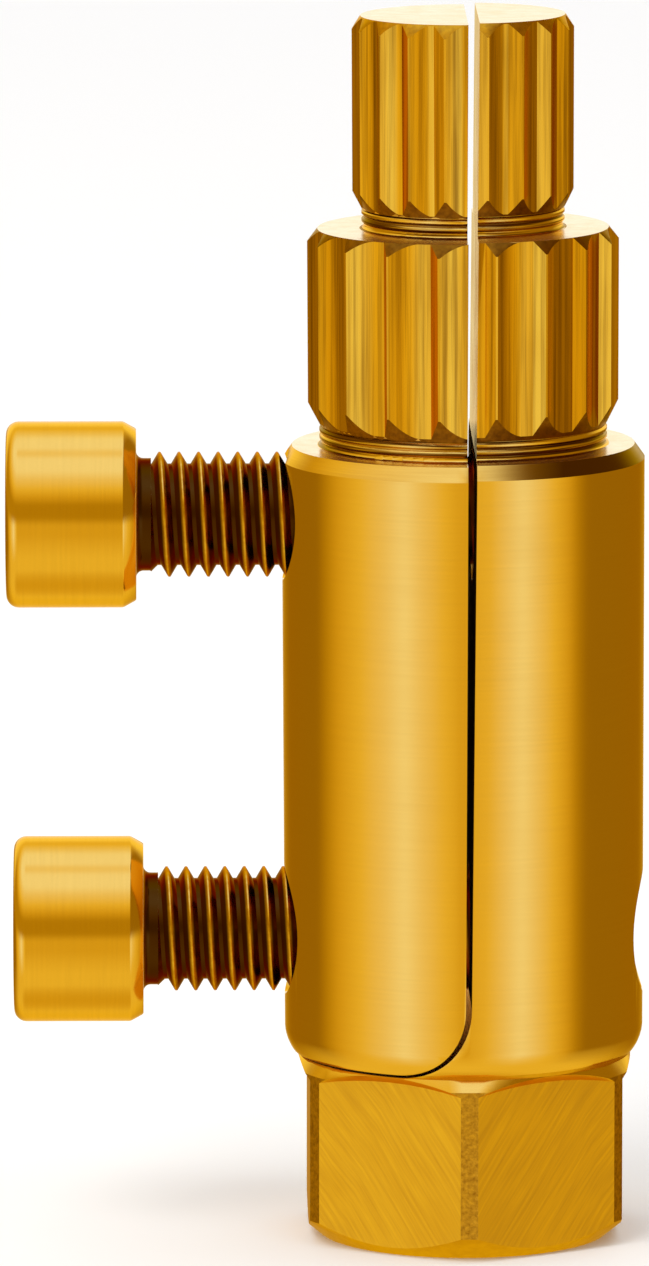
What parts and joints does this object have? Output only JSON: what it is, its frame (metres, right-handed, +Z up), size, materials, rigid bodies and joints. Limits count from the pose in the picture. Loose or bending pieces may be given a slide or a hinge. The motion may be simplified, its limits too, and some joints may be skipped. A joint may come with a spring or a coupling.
{
  "type": "split expanding pipe nipple extractor",
  "caption": "Split bar with a hexagon foot and two toothed grips that two cross screws spread inside a broken pipe end, so that it can be unscrewed.",
  "frame": {"origin": "centre of the hexagon's bottom face, on the bar's axis", "axes": "+Z up along the bar's axis towards the grips; the two screws lie along X with their heads towards -X; the parting cut lies in the YZ plane"},
  "size_m": [0.0408, 0.023, 0.0787],
  "materials": {
    "jaw_coating": "gold-toned coating on turned and milled steel, satin, with mill marks on the flats",
    "screw_coating": "gold-toned coating on steel screws, brushed round the heads"
  },
  "bodies": {
    "fixed_jaw": {"fixed_jaw": "jaw_coating"},
    "moving_jaw": {"moving_jaw": "jaw_coating"},
    "spreading_screw": {"spreading_screw": "screw_coating"},
    "tie_screw": {"tie_screw": "screw_coating"}
  },
  "joints": [
    {"name": "spreading_screw_turn", "type": "hinge", "parent": "fixed_jaw", "child": "spreading_screw", "pos_m": [-0.021, 0, 0.0466], "axis": [1, 0, 0], "range_deg": [-52, 271]},
    {"name": "jaw_rock", "type": "hinge", "parent": "fixed_jaw", "child": "moving_jaw", "pos_m": [-0.0107, 0, 0.0118], "axis": [0, -1, 0], "range_deg": [-0.3, 1.55]},
    {"name": "tie_screw_slide", "type": "slide", "parent": "fixed_jaw", "child": "tie_screw", "axis": [1, 0, 0], "range_m": [-0.0027, 0.0086]}
  ],
  "couplings": [
    {"joint": "jaw_rock", "follows": "spreading_screw_turn", "ratio": 0.0057168}
  ]
}
